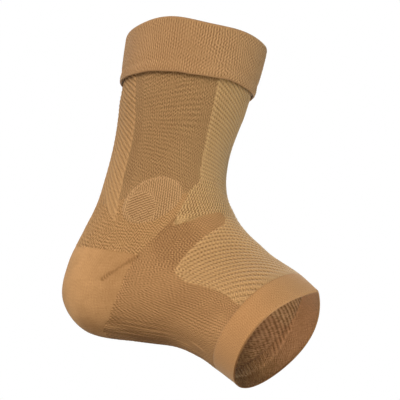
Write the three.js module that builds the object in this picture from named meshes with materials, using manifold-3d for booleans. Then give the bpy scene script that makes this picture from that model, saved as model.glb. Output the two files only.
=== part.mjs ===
// Knitted ankle sleeve: a bent, hollow tube of elastic knit, open at the leg
// and at the toes, with a turned cuff, a heel pocket and a toe band.
//
// Millimetres, +Z up the leg, +X towards the toes, +Y to the wearer's left.
// The origin is the heel seat: the middle of the heel pocket's inner floor.

import * as THREE from 'three';
import { mergeVertices } from 'three/addons/utils/BufferGeometryUtils.js';
import Module from 'manifold-3d';

// ---- driving dimensions -------------------------------------------------

const WALL = 1.6;             // knit of the leg, ankle, foot and heel
const CUFF_LAYER = 1.2;       // the cuff's outer layer, folded down over the leg
const TOE_WALL = 2.0;         // the toe band is knitted a little thicker
const GAP = 0.3;              // clearance between neighbouring pieces
const TOE_GAP = 0.55;         // the same at the toe band, in stations, which lie closer together at the instep

const CUFF_EDGE = 29;         // station of the cuff's free lower edge
const CUFF_BLEND = 15;        // length over which the leg comes out to full size below the cuff
const FOLD_LIP = 1.8;         // depth of the fold that closes over the leg's top edge
const RIM_WAVE = [3.02, -0.11, -1.84, 0.55, 0.31, -0.09, -0.45]; // rise of the top rim, as factors of cos(0), cos(angle), cos(2 angle) and so on
const TOE_START = 227;        // station where the toe band begins
const TOE_RIM = 246;          // station of the toe opening
const RIM_ROUND = 1.3;        // rounding at the toe opening

const AROUND = 40;            // facets round the sleeve
const STEP_LEG = 7.0;         // station spacing along the leg and the foot
const STEP_HEEL = 5.0;        // closer spacing where the heel is rounded

const HEEL_TOP = 49.2;        // height of the line where the heel pocket begins
const HEEL_REACH = 90;        // the pocket's cutting block runs this far behind and to each side

// Sections of the outer surface, from the top rim to the toe opening. station is
// the distance along the sleeve. front and back are the points where the section
// crosses the middle plane (shin and instep, calf and heel and sole), and
// half_width is half its breadth. front_crease and back_crease shape the ends:
// 1 is an ellipse, less is blunter, more is drawn to a soft fold.
const SECTIONS = [
  { name: 'cuff_rim',  station: 0,   front_x: 57.5,  front_z: 195.5, back_x: -32.0, back_z: 183.4, half_width: 44.5, front_crease: 1.06, back_crease: 1.02 },
  { name: 'cuff_edge', station: 29,  front_x: 55.2,  front_z: 164.9, back_x: -29.7, back_z: 156.5, half_width: 39.3, front_crease: 1.00, back_crease: 1.01 },
  { name: 'leg_upper', station: 48,  front_x: 50.7,  front_z: 145.1, back_x: -26.4, back_z: 137.9, half_width: 36.9, front_crease: 1.00, back_crease: 1.00 },
  { name: 'leg_mid',   station: 69,  front_x: 48.0,  front_z: 125.0, back_x: -24.7, back_z: 116.7, half_width: 35.5, front_crease: 1.00, back_crease: 0.99 },
  { name: 'leg_low',   station: 88,  front_x: 49.5,  front_z: 108.2, back_x: -25.5, back_z: 95.6,  half_width: 35.0, front_crease: 0.99, back_crease: 0.98 },
  { name: 'ankle',     station: 104, front_x: 53.8,  front_z: 96.9,  back_x: -27.6, back_z: 76.0,  half_width: 35.1, front_crease: 1.00, back_crease: 0.95 },
  { name: 'ankle_low', station: 118, front_x: 59.1,  front_z: 89.9,  back_x: -32.6, back_z: 57.8,  half_width: 35.2, front_crease: 1.00, back_crease: 0.89 },
  { name: 'heel_top',  station: 133, front_x: 65.3,  front_z: 83.1,  back_x: -38.0, back_z: 37.6,  half_width: 35.0, front_crease: 1.00, back_crease: 0.85 },
  { name: 'heel_mid',  station: 150, front_x: 73.4,  front_z: 76.7,  back_x: -36.5, back_z: 15.2,  half_width: 34.6, front_crease: 1.00, back_crease: 0.84 },
  { name: 'heel_low',  station: 167, front_x: 81.8,  front_z: 71.6,  back_x: -17.3, back_z: -0.2,  half_width: 34.9, front_crease: 1.00, back_crease: 0.84 },
  { name: 'sole_back', station: 185, front_x: 90.5,  front_z: 66.4,  back_x: 15.6,  back_z: 0.2,   half_width: 36.2, front_crease: 1.01, back_crease: 0.90 },
  { name: 'arch',      station: 201, front_x: 98.6,  front_z: 62.9,  back_x: 43.5,  back_z: 1.4,   half_width: 38.4, front_crease: 1.05, back_crease: 0.94 },
  { name: 'midfoot',   station: 214, front_x: 104.9, front_z: 60.4,  back_x: 61.5,  back_z: -2.3,  half_width: 40.8, front_crease: 1.09, back_crease: 0.97 },
  { name: 'toe_band',  station: 227, front_x: 111.3, front_z: 57.6,  back_x: 74.9,  back_z: -8.0,  half_width: 43.1, front_crease: 1.16, back_crease: 1.03 },
  { name: 'toe_rim',   station: 246, front_x: 125.2, front_z: 49.2,  back_x: 90.0,  back_z: -15.0, half_width: 43.6, front_crease: 1.78, back_crease: 1.05 },
];

// Front line of the heel pocket in the middle plane, from the point where it
// meets the top line at the side of the ankle, down to the sole.
const HEEL_FRONT = [
  { x: 21.5, z: HEEL_TOP },
  { x: 17.8, z: 41.0 },
  { x: 15.9, z: 34.6 },
  { x: 12.7, z: 22.2 },
  { x: 8.3, z: 10.0 },
  { x: -1.0, z: -0.4 },
  { x: -9.0, z: -7.0 },
];

const COLOURS = {
  cuff: 0xaf8459,
  knit_body: 0xa67f54,
  heel_pocket: 0xbe8f5f,
  toe_band: 0xbc8c5b,
};

// ---- outer surface ------------------------------------------------------

const COLUMNS = ['front_x', 'front_z', 'back_x', 'back_z', 'half_width', 'front_crease', 'back_crease'];

// Smooth value of one column along the stations: a cubic through the rows with
// slopes taken from the parabola through three neighbouring rows.
function columnAt(column, station) {
  const t = SECTIONS.map((r) => r.station);
  const v = SECTIONS.map((r) => r[column]);
  const last = t.length - 1;
  const rise = (i) => (v[i + 1] - v[i]) / (t[i + 1] - t[i]);
  const inner = (i) => {
    const before = t[i] - t[i - 1];
    const after = t[i + 1] - t[i];
    return (rise(i - 1) * after + rise(i) * before) / (before + after);
  };
  const slope = (i) => {
    if (i === 0) return 2 * rise(0) - inner(1);
    if (i === last) return 2 * rise(last - 1) - inner(last - 1);
    return inner(i);
  };
  let i = 0;
  while (i < last - 1 && station >= t[i + 1]) i += 1;
  const span = t[i + 1] - t[i];
  const k = (station - t[i]) / span;
  const k2 = k * k;
  const k3 = k2 * k;
  return (2 * k3 - 3 * k2 + 1) * v[i] + (k3 - 2 * k2 + k) * span * slope(i)
    + (3 * k2 - 2 * k3) * v[i + 1] + (k3 - k2) * span * slope(i + 1);
}

const sectionCache = new Map();
function sectionAt(station) {
  const key = station.toFixed(4);
  if (!sectionCache.has(key)) {
    sectionCache.set(key, Object.fromEntries(COLUMNS.map((c) => [c, columnAt(c, station)])));
  }
  return sectionCache.get(key);
}

// Point of the outer surface at a station and an angle round the section:
// 0 is the front, a quarter turn is the wearer's right, a half turn the back.
function outerPoint(station, angle) {
  const r = sectionAt(station);
  const c = Math.cos(angle);
  const s = Math.sin(angle);
  const crease = (r.front_crease + r.back_crease) / 2 + (r.front_crease - r.back_crease) / 2 * c;
  const x = (r.front_x + r.back_x) / 2 + (r.front_x - r.back_x) / 2 * c;
  const z = (r.front_z + r.back_z) / 2 + (r.front_z - r.back_z) / 2 * c;
  const y = -r.half_width * Math.sign(s) * Math.abs(s) ** crease;
  const rise = RIM_WAVE.reduce((sum, factor, k) => sum + factor * Math.cos(k * angle), 0);
  const lift = Math.max(0, 1 - station / CUFF_EDGE) * rise;
  return new THREE.Vector3(x, y, z + lift);
}

// Outward direction, from the surface a little to each side.
function outward(station, angle) {
  const low = Math.max(0, station - 1);
  const high = Math.min(TOE_RIM, station + 1);
  const turn = Math.PI / AROUND;
  const along = outerPoint(high, angle).sub(outerPoint(low, angle));
  const round = outerPoint(station, angle + turn).sub(outerPoint(station, angle - turn));
  return along.cross(round).normalize().negate();
}

const wallPoint = (station, angle, depth) =>
  outerPoint(station, angle).addScaledVector(outward(station, angle), -depth);

// ---- walls --------------------------------------------------------------

// A closed ring of knit: a wall profile, given as { station, depth } points in
// order round its cross-section, carried once round the sleeve.
function ring(profile) {
  const rows = profile.length;
  const position = [];
  for (let a = 0; a < AROUND; a += 1) {
    const angle = (a / AROUND) * 2 * Math.PI;
    for (const { station, depth } of profile) position.push(...wallPoint(station, angle, depth).toArray());
  }
  const index = [];
  for (let a = 0; a < AROUND; a += 1) {
    const b = (a + 1) % AROUND;
    for (let i = 0; i < rows; i += 1) {
      const j = (i + 1) % rows;
      index.push(a * rows + i, b * rows + i, b * rows + j, a * rows + i, b * rows + j, a * rows + j);
    }
  }
  const geometry = new THREE.BufferGeometry();
  geometry.setAttribute('position', new THREE.Float32BufferAttribute(position, 3));
  geometry.setIndex(signedVolume(position, index) < 0 ? flipped(index) : index);
  return geometry;
}

function signedVolume(position, index) {
  const p = (i) => new THREE.Vector3().fromArray(position, 3 * i);
  let sum = 0;
  for (let i = 0; i < index.length; i += 3) sum += p(index[i]).dot(p(index[i + 1]).cross(p(index[i + 2])));
  return sum / 6;
}

function flipped(index) {
  const out = [];
  for (let i = 0; i < index.length; i += 3) out.push(index[i], index[i + 2], index[i + 1]);
  return out;
}

// Stations from one to another, closer together round the heel.
function stations(from, to) {
  const heelFrom = 118;
  const heelTo = 196;
  const list = [from];
  for (let s = from; ;) {
    s += s >= heelFrom - 1 && s < heelTo ? STEP_HEEL : STEP_LEG;
    if (s > to - STEP_HEEL / 2) break;
    list.push(s);
  }
  list.push(to);
  return list;
}

// How far the leg's outer face lies inside the outer surface: it is tucked
// under the cuff, and comes out to full size below the cuff's edge.
function legInset(station) {
  const k = THREE.MathUtils.clamp((station - CUFF_EDGE - 1) / CUFF_BLEND, 0, 1);
  return (CUFF_LAYER + GAP) * (1 - k * k * (3 - 2 * k));
}

function bodyProfile() {
  const run = [...stations(FOLD_LIP + GAP, CUFF_EDGE + 1), ...stations(CUFF_EDGE + 1, TOE_START).slice(1)];
  const outer = run.map((station) => ({ station, depth: legInset(station) }));
  const inner = run.map((station) => ({ station, depth: legInset(station) + WALL })).reverse();
  return [...outer, ...inner];
}

function cuffProfile() {
  const full = CUFF_LAYER + GAP + WALL;
  const run = stations(FOLD_LIP, CUFF_EDGE);
  const outer = run.map((station) => ({ station, depth: 0 })).reverse();
  const under = run.map((station) => ({ station, depth: CUFF_LAYER }));
  const fold = [
    { station: 0.7, depth: 0.2 },
    { station: 0.1, depth: full * 0.3 },
    { station: 0.1, depth: full * 0.7 },
    { station: 0.7, depth: full - 0.2 },
    { station: FOLD_LIP, depth: full },
  ];
  return [...outer, ...fold, ...under];
}

function toeProfile() {
  const run = stations(TOE_START + TOE_GAP, TOE_RIM - RIM_ROUND);
  const outer = run.map((station) => ({ station, depth: 0 }));
  const inner = run.map((station) => ({ station, depth: TOE_WALL })).reverse();
  const rim = [
    { station: TOE_RIM - RIM_ROUND * 0.3, depth: TOE_WALL * 0.2 },
    { station: TOE_RIM, depth: TOE_WALL * 0.5 },
    { station: TOE_RIM - RIM_ROUND * 0.3, depth: TOE_WALL * 0.8 },
  ];
  return [...outer, ...rim, ...inner];
}

// Block behind the heel pocket's boundary, grown by a clearance, across the
// whole breadth of the sleeve.
function heelBlock(grow) {
  const line = HEEL_FRONT.map((p) => new THREE.Vector2(p.x, p.z));
  const last = line.length - 1;
  const forward = (i) => {
    const d = new THREE.Vector2().subVectors(line[i + 1], line[i]).normalize();
    return new THREE.Vector2(-d.y, d.x);
  };
  const moved = line.map((p, i) => {
    const a = i === 0 ? new THREE.Vector2(0, 1) : forward(i - 1);
    const b = i === last ? a : forward(i);
    const mitre = new THREE.Vector2().addVectors(a, b);
    return p.clone().addScaledVector(mitre, grow / (1 + a.dot(b)));
  });
  const shape = new THREE.Shape([
    new THREE.Vector2(-HEEL_REACH, HEEL_TOP + grow),
    new THREE.Vector2(-HEEL_REACH, moved[moved.length - 1].y),
    ...moved.reverse(),
  ]);
  const block = new THREE.ExtrudeGeometry(shape, { depth: 2 * HEEL_REACH, bevelEnabled: false });
  block.rotateX(Math.PI / 2);
  block.translate(0, HEEL_REACH, 0);
  return block;
}

// ---- cutting ------------------------------------------------------------

const wasm = await Module();
wasm.setup();

function solid(geometry) {
  const bare = geometry.clone();
  for (const name of Object.keys(bare.attributes)) if (name !== 'position') bare.deleteAttribute(name);
  const merged = mergeVertices(bare, 1e-4);
  return new wasm.Manifold(new wasm.Mesh({
    numProp: 3,
    vertProperties: new Float32Array(merged.attributes.position.array),
    triVerts: new Uint32Array(merged.index.array),
  }));
}

function fromSolid(manifold) {
  const mesh = manifold.getMesh();
  const geometry = new THREE.BufferGeometry();
  geometry.setAttribute('position', new THREE.Float32BufferAttribute(mesh.vertProperties, 3));
  geometry.setIndex([...mesh.triVerts]);
  return geometry;
}

const tube = solid(ring(bodyProfile()));
const bodyGeometry = fromSolid(tube.subtract(solid(heelBlock(GAP))));
const heelGeometry = fromSolid(tube.intersect(solid(heelBlock(0))));

// ---- assembly -----------------------------------------------------------

function piece(name, geometry) {
  geometry.computeVertexNormals();
  const mesh = new THREE.Mesh(geometry, new THREE.MeshStandardMaterial({
    color: COLOURS[name], roughness: 0.92, metalness: 0,
  }));
  mesh.name = name;
  return mesh;
}

const sleeve = new THREE.Group();
sleeve.name = 'ankle_sleeve';
sleeve.add(
  piece('cuff', ring(cuffProfile())),
  piece('knit_body', bodyGeometry),
  piece('heel_pocket', heelGeometry),
  piece('toe_band', ring(toeProfile())),
);

export default sleeve;
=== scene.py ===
"""Knitted ankle sleeve: meshes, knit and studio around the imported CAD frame.

The sleeve is one knitted tube. A fine grid of stitches (wales round the leg,
stations along it) is laid on the same sections that the CAD model uses, each
knit zone gets its own relief, and every zone becomes a closed piece of cloth.
"""

import math

import bpy
import numpy as np
from mathutils import Matrix, Vector


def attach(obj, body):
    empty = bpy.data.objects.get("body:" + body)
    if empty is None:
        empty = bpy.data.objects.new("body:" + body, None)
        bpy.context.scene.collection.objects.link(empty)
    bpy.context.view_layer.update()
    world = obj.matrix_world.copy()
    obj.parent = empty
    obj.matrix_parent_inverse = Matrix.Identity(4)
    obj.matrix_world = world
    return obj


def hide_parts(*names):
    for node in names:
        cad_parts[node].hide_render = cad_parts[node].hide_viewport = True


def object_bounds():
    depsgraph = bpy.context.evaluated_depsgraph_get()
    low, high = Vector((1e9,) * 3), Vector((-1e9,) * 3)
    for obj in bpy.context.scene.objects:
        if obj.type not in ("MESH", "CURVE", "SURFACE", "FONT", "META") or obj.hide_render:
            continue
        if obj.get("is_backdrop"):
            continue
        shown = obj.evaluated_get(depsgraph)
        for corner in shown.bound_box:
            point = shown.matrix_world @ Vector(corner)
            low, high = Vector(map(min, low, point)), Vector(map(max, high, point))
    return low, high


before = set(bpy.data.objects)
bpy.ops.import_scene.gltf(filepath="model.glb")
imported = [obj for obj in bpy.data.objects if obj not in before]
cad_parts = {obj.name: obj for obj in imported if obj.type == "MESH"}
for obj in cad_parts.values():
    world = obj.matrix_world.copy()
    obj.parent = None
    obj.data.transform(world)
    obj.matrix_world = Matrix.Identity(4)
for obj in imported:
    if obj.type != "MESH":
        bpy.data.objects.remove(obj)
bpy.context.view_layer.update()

MM = 0.001

# ---------------------------------------------------------------- shape, in mm

WALL = 1.6  # knit of the leg, ankle, foot and heel
CUFF_LAYER = 1.2  # the cuff's turned-down layer
TOE_WALL = 2.0  # toe band
GAP = 0.3  # air between the cuff and the leg
CUFF_EDGE = 29.0  # station of the cuff's lower edge
CUFF_BLEND = 15.0  # the leg comes out to full size over this length
RIM_WAVE = (3.02, -0.11, -1.84, 0.55, 0.31, -0.09, -0.45)  # rise of the top rim, as factors of cosines
LEG_TOP = 2.1  # station of the leg's hidden top edge
TOE_START = 227.0
TOE_RIM = 246.0

WALES = 180  # stitch columns round the sleeve
COLS = 720  # grid columns, four to a wale
STEP = 0.5  # grid rows along the sleeve, in stations

# station, front x, front z, back x, back z, half width, front crease, back crease
SECTIONS = np.array(
    [
        (0, 57.5, 195.5, -32.0, 183.4, 44.5, 1.06, 1.02),
        (29, 55.2, 164.9, -29.7, 156.5, 39.3, 1.00, 1.01),
        (48, 50.7, 145.1, -26.4, 137.9, 36.9, 1.00, 1.00),
        (69, 48.0, 125.0, -24.7, 116.7, 35.5, 1.00, 0.99),
        (88, 49.5, 108.2, -25.5, 95.6, 35.0, 0.99, 0.98),
        (104, 53.8, 96.9, -27.6, 76.0, 35.1, 1.00, 0.95),
        (118, 59.1, 89.9, -32.6, 57.8, 35.2, 1.00, 0.89),
        (133, 65.3, 83.1, -38.0, 37.6, 35.0, 1.00, 0.85),
        (150, 73.4, 76.7, -36.5, 15.2, 34.6, 1.00, 0.84),
        (167, 81.8, 71.6, -17.3, -0.2, 34.9, 1.00, 0.84),
        (185, 90.5, 66.4, 15.6, 0.2, 36.2, 1.01, 0.90),
        (201, 98.6, 62.9, 43.5, 1.4, 38.4, 1.05, 0.94),
        (214, 104.9, 60.4, 61.5, -2.3, 40.8, 1.09, 0.97),
        (227, 111.3, 57.6, 74.9, -8.0, 43.1, 1.16, 1.03),
        (246, 125.2, 49.2, 90.0, -15.0, 43.6, 1.78, 1.05),
    ],
    float,
)

# Front line of the heel pocket in the middle plane (x, z), and its top line.
HEEL_TOP = 49.2
HEEL_FRONT = np.array(
    [(21.5, 49.2), (17.8, 41.0), (15.9, 34.6), (12.7, 22.2), (8.3, 10.0), (-1.0, -0.4), (-9.0, -7.0)]
)
GUSSET = np.array([(20.9, 47.6), (12.4, 40.9), (0.1, 31.1)])  # dark stitched line on the heel pocket

# Knit zones on the unrolled sleeve: s is the station, t the angle from the front in degrees.
REAR_EDGE = np.array([(29, 119.5), (45, 113.5), (61, 108.5), (75, 108.0), (90, 108.8), (104, 108.8), (121, 104.2)])  # s, t
REAR_LOW = np.array([(104.2, 120.8), (134.5, 100.5), (180, 94.5)])  # t, s
SIDE_FRONT = np.array([(29, 41), (53.5, 35.8), (69.8, 33.2), (94.8, 35), (103.8, 46), (120, 55.2), (134.2, 62.8)])  # s, t
SIDE_LOW = 107.0
MARGIN_REAR = np.array([(29, 106), (36.5, 104.8), (61.5, 96.8), (75, 96.0), (91, 96.2)])  # s, t
MARGIN_FRONT = np.array([(32, 52.5), (55.5, 49.2), (72, 48.8), (88.5, 47.5)])  # s, t
TONGUE_LOW = np.array([(0, 131), (19, 131), (22, 125), (37.8, 128.2), (50.2, 132.8), (62.8, 134.2)])  # t, s
FORE_TOP = np.array([(0, 131), (19, 131), (24, 139.2), (45, 149.5), (59, 158.5), (72, 166.5), (77.2, 170.8)])  # t, s
FORE_LOW = np.array([(170.8, 77.2), (182.8, 82.5), (195.8, 82.5), (206.8, 82.2), (221.8, 82.8), (227, 82)])  # s, t
RING = (21.3, 83.0, 19.4, 12.5, 39.0)  # ankle ring: x, z, half length, half width, tilt in degrees
DISC = (16.6, 77.6, 9.4)  # the patch inside it: x, z, radius
CUFF_WAVE = np.array([(0, 0), (12, 0), (22, -0.5), (32, -0.9), (39, -0.5), (48, 0), (68, 0), (78, -0.7), (90, -0.6), (103, -0.9), (114, -0.4), (124, 0), (180, 0)])  # t, rise of the cuff's edge

# Course of the ribs: cycles per station and per wale along the shin and the calf.
SHIN_ALONG = np.array([(0, 0.36), (30, 0.38), (45, 0.41), (60, 0.40), (80, 0.38), (95, 0.32), (105, 0.28), (140, 0.28)])
SHIN_ROUND = np.array([(0, 0.30), (30, 0.29), (42, 0.24), (52, 0.17), (65, 0.15), (78, 0.10), (90, 0.08), (103, 0.0), (140, 0.02)])
CALF_ALONG = np.array([(0, 0.34), (35, 0.34), (55, 0.34), (75, 0.29), (100, 0.25), (125, 0.25)])
CALF_ROUND = np.array([(0, 0.27), (35, 0.27), (60, 0.29), (80, 0.32), (102, 0.40), (125, 0.40)])
SIDE_ALONG = np.array([(0, 0.33), (45, 0.34), (65, 0.37), (80, 0.38), (110, 0.33)])
SIDE_ROUND = np.array([(0, -0.16), (38, -0.15), (52, -0.09), (62, 0.0), (77, 0.10), (88, 0.16), (110, 0.16)])
# Powers of (station, wale) and factors of the smooth fields that the instep ribs and the foot's wales follow.
FORE_FIELD = (180, 40, 22, 20, ((1, 0, 7.636), (0, 1, 2.245), (2, 0, -2.796), (1, 1, 4.606), (0, 2, -2.302), (3, 0, 0.663), (2, 1, -2.068), (1, 2, 2.244)))
FOOT_FIELD = (180, 40, 45, 20, ((1, 0, -3.027), (0, 1, 17.862), (2, 0, 2.163), (1, 1, -5.099), (0, 2, -0.292), (3, 0, 0.288), (2, 1, 7.166), (1, 2, -5.742)))


def smooth(x):
    x = np.clip(x, 0, 1)
    return x * x * (3 - 2 * x)


def along(table, x):
    return np.interp(x, table[:, 0], table[:, 1])


def section_at(s):
    """The seven section columns at stations s: a cubic through the rows."""
    t, v = SECTIONS[:, 0], SECTIONS[:, 1:]
    d = np.diff(t)
    m = np.diff(v, axis=0) / d[:, None]
    k = np.empty_like(v)
    k[1:-1] = (m[:-1] * d[1:, None] + m[1:] * d[:-1, None]) / (d[:-1] + d[1:])[:, None]
    k[0], k[-1] = 2 * m[0] - k[1], 2 * m[-1] - k[-2]
    i = np.clip(np.searchsorted(t, s, side="right") - 1, 0, len(t) - 2)
    u = ((s - t[i]) / d[i])[:, None]
    u2, u3, span = u * u, u * u * u, d[i][:, None]
    return (2 * u3 - 3 * u2 + 1) * v[i] + (u3 - 2 * u2 + u) * span * k[i] + (3 * u2 - 2 * u3) * v[i + 1] + (u3 - u2) * span * k[i + 1]


def surface(s, angle):
    """Points of the outer surface at stations s (rows) and angles (rows by columns)."""
    fx, fz, bx, bz, hw, fc, bc = (c[:, None] for c in section_at(s).T)
    c, n = np.cos(angle), np.sin(angle)
    e = (fc + bc) / 2 + (fc - bc) / 2 * c
    x = (fx + bx) / 2 + (fx - bx) / 2 * c
    rise = sum(factor * np.cos(k * angle) for k, factor in enumerate(RIM_WAVE))
    z = (fz + bz) / 2 + (fz - bz) / 2 * c + np.clip(1 - s / CUFF_EDGE, 0, 1)[:, None] * rise
    y = -hw * np.sign(n) * np.abs(n) ** e
    return np.stack([x, y, z], -1)


def outward(s, angle):
    turn = math.pi / 40
    lo, hi = np.maximum(s - 1, 0), np.minimum(s + 1, TOE_RIM)
    a = surface(hi, angle) - surface(lo, angle)
    r = surface(s, angle + turn) - surface(s, angle - turn)
    n = np.cross(r, a)
    return n / np.linalg.norm(n, axis=-1, keepdims=True)


def angles(s):
    """Angles of COLS columns that are equally spaced along each section."""
    dense = np.linspace(0, 2 * math.pi, 1441)
    p = surface(s, np.tile(dense, (len(s), 1)))
    run = np.concatenate([np.zeros((len(s), 1)), np.cumsum(np.linalg.norm(np.diff(p, axis=1), axis=2), axis=1)], axis=1)
    share = np.arange(COLS) / COLS
    return np.stack([np.interp(share * r[-1], r, dense) for r in run])


def noise(x, y, seed):
    """Smooth value noise between -1 and 1, repeating every 64 cells."""
    table = np.random.default_rng(seed).uniform(-1, 1, (64, 64))
    xi, yi = np.floor(x).astype(int), np.floor(y).astype(int)
    u, v = smooth(x - xi), smooth(y - yi)
    a, b = table[xi % 64, yi % 64], table[(xi + 1) % 64, yi % 64]
    c, d = table[xi % 64, (yi + 1) % 64], table[(xi + 1) % 64, (yi + 1) % 64]
    return (a * (1 - u) + b * u) * (1 - v) + (c * (1 - u) + d * u) * v


def summed(table, s):
    """Integral of a rate table along the stations, from 0."""
    fine = np.arange(0, 250, 0.25)
    total = np.concatenate([[0], np.cumsum((along(table, fine)[1:] + along(table, fine)[:-1]) / 2 * 0.25)])
    return np.interp(s, fine, total)


def field(f, s, w, low, high, edge_rate=None):
    """A smooth phase field, carried on straight beyond the wales low and high."""
    s0, sk, w0, wk, terms = f
    wc = np.clip(w, low, high)
    a, b = (s - s0) / sk, (wc - w0) / wk
    value = sum(c * a**i * b**j for i, j, c in terms)
    rate = sum(c * a**i * j * b ** max(j - 1, 0) / wk for i, j, c in terms if j)
    if edge_rate is not None:
        rate = np.where(w > high, edge_rate, rate)
    return value + rate * (w - wc)


# ------------------------------------------------------------------ master grid

rows = np.concatenate([np.linspace(LEG_TOP, 26.0, 13), np.arange(26.0 + STEP, TOE_START + STEP / 2, STEP)])
if len(rows) % 2 == 0:
    rows = np.concatenate([rows[:6], [(rows[5] + rows[6]) / 2], rows[6:]])
ROWS = len(rows)
THETA = angles(rows)
BASE = surface(rows, THETA)
OUT = outward(rows, THETA)
S = np.repeat(rows[:, None], COLS, 1)
T = np.degrees(np.where(THETA > math.pi, 2 * math.pi - THETA, THETA))  # angle from the front, either side
W = np.tile(np.arange(COLS) * WALES / COLS, (ROWS, 1))  # wale, 0 to 180
WS = np.where(W > WALES / 2, W - WALES, W)  # wale, signed from the front
WA = np.abs(WS)
NEAR = WS >= 0
X, Y, Z = BASE[..., 0], BASE[..., 1], BASE[..., 2]

(SHIN, CALF, SIDE, ANKLE_RING, INSTEP, FOOT, ANKLE, HEEL) = range(8)


def heel_depth(x, z):
    """How far inside the heel pocket's outline a point of the middle plane lies."""
    front = np.interp(z, HEEL_FRONT[::-1, 1], HEEL_FRONT[::-1, 0])
    return np.minimum(front - x, HEEL_TOP - z)


heel_in = heel_depth(X, Z)
ring_c, ring_n = math.cos(math.radians(RING[4])), math.sin(math.radians(RING[4]))
ring_u = (X - RING[0]) * ring_c + (Z - RING[1]) * ring_n
ring_v = (Z - RING[1]) * ring_c - (X - RING[0]) * ring_n
ring_r = np.hypot(ring_u / RING[2], ring_v / RING[3])
disc_r = np.hypot(X - DISC[0], Z - DISC[1]) / DISC[2]
rear_edge, side_front = along(REAR_EDGE, S), along(SIDE_FRONT, S)

zone = np.full(S.shape, FOOT)
plain_line = 21.5 + (Z - 49.2) * 0.62  # from the heel pocket's corner up to the tip of the shin mesh
zone[(Z > 47) & (X < plain_line) & (S < 150)] = ANKLE
zone[(S < SIDE_LOW) & (T <= 130)] = SIDE
zone[(T > rear_edge) & (S < along(REAR_LOW, T))] = CALF
zone[(ring_r < 1) & (T > 45) & (T < 115)] = ANKLE_RING
zone[(T < side_front) & (S < along(TONGUE_LOW, T))] = SHIN
zone[(S > along(FORE_TOP, T)) & (T < along(FORE_LOW, S)) & (T < 83)] = INSTEP
zone[heel_in > 0] = HEEL

# ------------------------------------------------------------------ knit relief

TAU = 2 * math.pi
wale = np.cos(TAU * W)  # a rib for each wale
mottle = 0.6 * noise(W / 7, S / 8, 3) + 0.4 * noise(W / 2.5, S / 3, 4)


def twill(w, s, seed):
    """Broken fine twill both ways, and every stitch a little different."""
    s = np.broadcast_to(s, w.shape)
    leans = 0.3 * noise(w * 2.0, s * 1.9, seed)
    for k, (across, down) in enumerate(((1.0, 0.30), (1.0, -0.33), (0.62, 0.40), (0.62, -0.44), (0.34, 0.52))):
        leans = leans + np.cos(TAU * (across * w + down * s)) * noise(w / 3.5, s / 4, seed + 100 + k)
    return leans


fine = twill(W, S, 5)

shin_phase = summed(SHIN_ALONG, S) + along(SHIN_ROUND, S) * (WS - 10)
calf_phase = summed(CALF_ALONG, S) + along(CALF_ROUND, S) * (np.where(WS < 0, W, W) - 63)
fore_raw = field(FORE_FIELD, S, WS, 4, 40)
i0 = int(np.argmin(np.abs(rows - 131)))
fore_phase = fore_raw + (shin_phase[i0, 32] - fore_raw[i0, 32])
meet = smooth((S - 124) / 14)
shin_phase = shin_phase * (1 - meet) + fore_phase * meet
foot_wale = field(FOOT_FIELD, S, WA, 14, 62, edge_rate=0.8)
side_phase = summed(SIDE_ALONG, S) + along(SIDE_ROUND, S) * (WA - 36) + 0.16 * noise(W / 5, S / 7, 6) + 0.10 * noise(W / 2.2, S / 3.2, 7)

relief = np.zeros(S.shape)
shade = np.full(S.shape, 0.5)


def mesh_ribs(phase, pit_wale, depth, contrast, pit_depth, pit_tone):
    """Rounded ribs with a row of small holes along each valley: relief and shade."""
    rib = 0.5 + 0.5 * np.cos(TAU * phase)
    crest = rib**0.8
    bead = np.cos(TAU * pit_wale)
    pit = smooth((0.62 - rib) / 0.5) * smooth(0.5 + 0.8 * bead)
    h = depth * (crest - 0.6) - pit_depth * pit - 0.15 * depth * rib * bead
    tone = 0.5 + contrast * (crest - 0.5) - pit_tone * (pit - 0.2) - 0.35 * pit_tone * rib * bead
    return h, tone


def put(mask, h, tone, grain):
    relief[mask] = (h + 0.16 * grain * fine)[mask]
    shade[mask] = (0.5 + 0.72 * (tone - 0.5) + grain * fine)[mask]


# shin: diagonal ribs that turn level and break up into open stitches towards the instep
open_knit = smooth((S - 78) / 36) * smooth((132 - S) / 8)
h, tone = mesh_ribs(shin_phase, 0.76 * WS + 0.04 * S, 0.30, 0.46, 0.22, 0.46)
fade = 1 - 0.38 * smooth((S - 48) / 24)
h, tone = h * fade, 0.5 + (tone - 0.5) * fade
warp = 0.16 * noise(W / 4, S / 5, 44)  # the open stitches waver
dots = 0.5 * (np.cos(TAU * (0.79 * WS + 0.08 * S + warp)) + np.cos(TAU * (0.83 * WS - 0.24 * S - warp))) * (0.95 + 0.2 * noise(W / 3, S / 4, 45))
h = h * (1 - 0.5 * open_knit) + 0.24 * dots * open_knit
tone = 0.5 + (tone - 0.5) * (1 - 0.4 * open_knit) + 1.60 * dots * open_knit
put(zone == SHIN, h, tone + 0.04 * mottle - 0.07 * open_knit, 0.18 + 0.34 * open_knit)

# calf: diagonal ribs, softer lower down
h, tone = mesh_ribs(calf_phase, 0.8 * W, 0.32, 0.58, 0.12, 0.28)
fade = 1 - 0.30 * smooth((S - 56) / 34)
h, tone = h * fade, 0.5 + (tone - 0.5) * fade
put(zone == CALF, h + 0.03 * wale, tone + 0.04 * mottle + 0.34 * smooth((S - 30) / 75) - 0.15, 0.24)

# instep: arched ribs with open holes
h, tone = mesh_ribs(shin_phase, 0.77 * WS - 0.05 * S, 0.20, 0.26, 0.28, 0.54)
fade = (1 - 0.75 * smooth((S - 215) / 10) * smooth((64 - T) / 18)) * (1 - 0.28 * smooth((T - 58) / 14))  # closes up towards the toe band
h, tone = h * fade, 0.5 + (tone - 0.5) * fade
put(zone == INSTEP, h, tone + 0.04 * mottle + 0.06 * smooth((38 - T) / 16), 0.19 + 0.10 * smooth((T - 56) / 14))

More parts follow.
